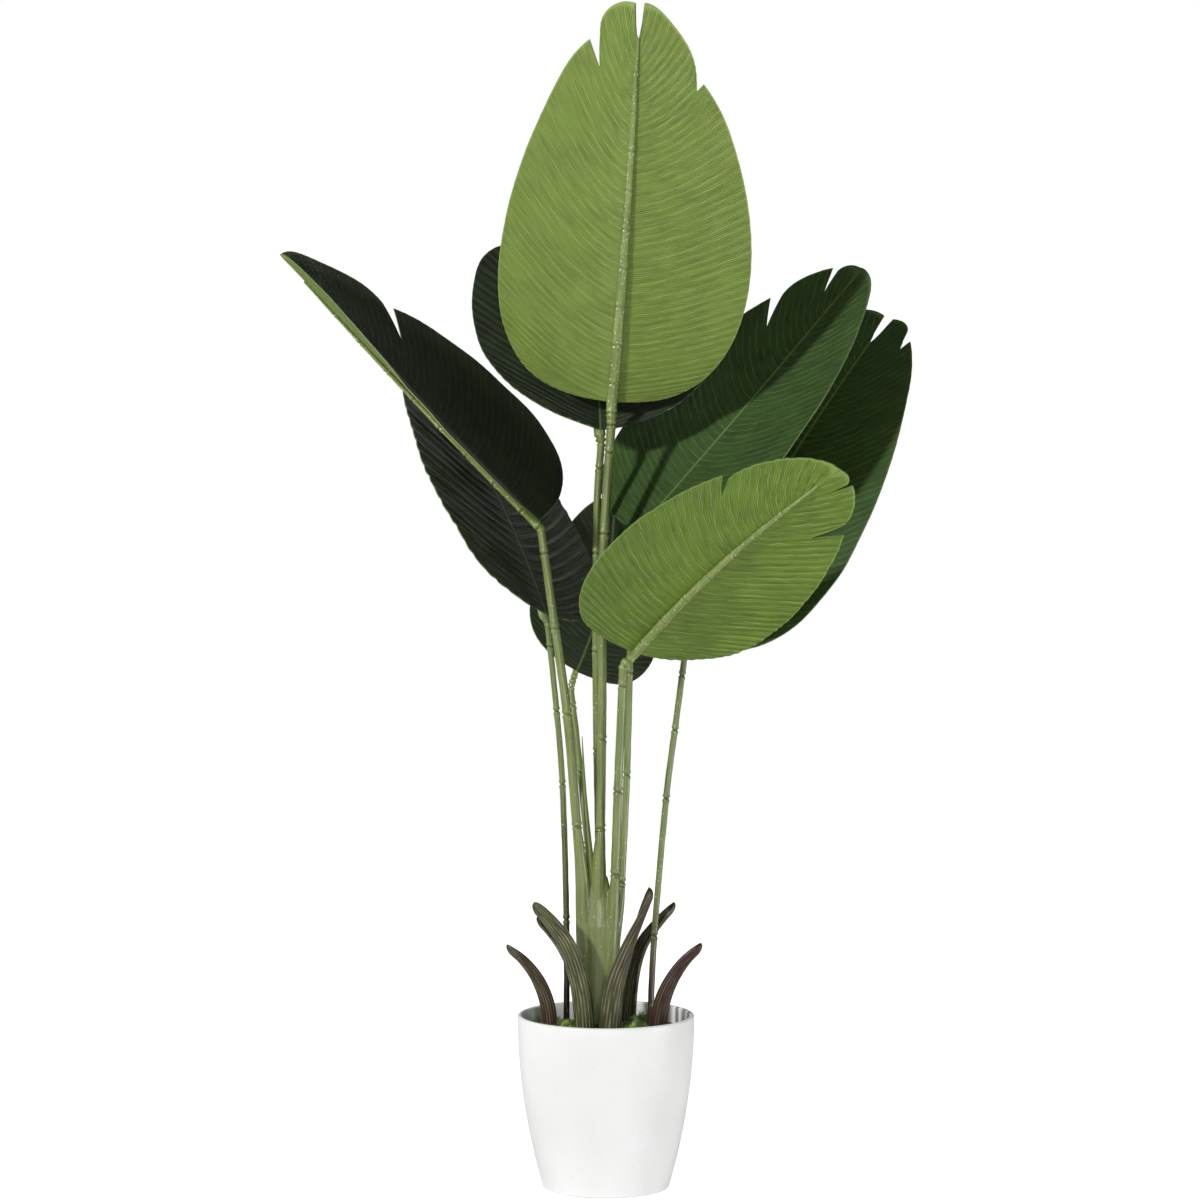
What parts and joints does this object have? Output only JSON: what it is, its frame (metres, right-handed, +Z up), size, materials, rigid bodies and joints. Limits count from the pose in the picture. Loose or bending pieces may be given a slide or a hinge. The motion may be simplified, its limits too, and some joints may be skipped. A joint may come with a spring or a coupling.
{
  "type": "potted artificial banana plant",
  "caption": "Tall artificial banana plant with broad veined leaves on long upright stems, planted in a round tapered white pot.",
  "frame": {"origin": "centre of the pot's flat base, on the floor", "axes": "+Z up; -Y is the plant's front, the side that its tallest leaf leans towards; +X is to the right seen from the front"},
  "size_m": [0.6455, 0.4999, 1.1812],
  "materials": {
    "pot_white": "satin moulded",
    "planting_fill": "rough, cast",
    "moss": "dry fibre",
    "stem_green": "semi-gloss moulded",
    "leaf_green": "satin, coated sheet",
    "rib_green": "semi-gloss moulded",
    "basal_olive": "satin moulded"
  },
  "bodies": {
    "root": {"pot": "pot_white", "planting_fill": "planting_fill", "moss_1": "moss", "moss_2": "moss", "moss_3": "moss", "moss_4": "moss", "moss_5": "moss", "trunk": "stem_green", "stem_crown": "stem_green", "stem_back": "stem_green", "stem_left_high": "stem_green", "stem_left_low": "stem_green", "stem_low_back": "stem_green", "stem_right_mid": "stem_green", "stem_far_right": "stem_green", "stem_front_right": "stem_green", "blade_crown": "leaf_green", "blade_back": "leaf_green", "blade_left_high": "leaf_green", "blade_left_low": "leaf_green", "blade_low_back": "leaf_green", "blade_right_mid": "leaf_green", "blade_far_right": "leaf_green", "blade_front_right": "leaf_green", "midrib_crown": "rib_green", "midrib_back": "rib_green", "midrib_left_high": "rib_green", "midrib_left_low": "rib_green", "midrib_low_back": "rib_green", "midrib_right_mid": "rib_green", "midrib_far_right": "rib_green", "midrib_front_right": "rib_green", "basal_leaf_front_left": "basal_olive", "basal_leaf_front_right": "basal_olive", "basal_leaf_rear_left": "basal_olive", "basal_leaf_rear_right": "basal_olive", "basal_leaf_left": "basal_olive", "basal_leaf_right": "basal_olive"}
  },
  "joints": []
}
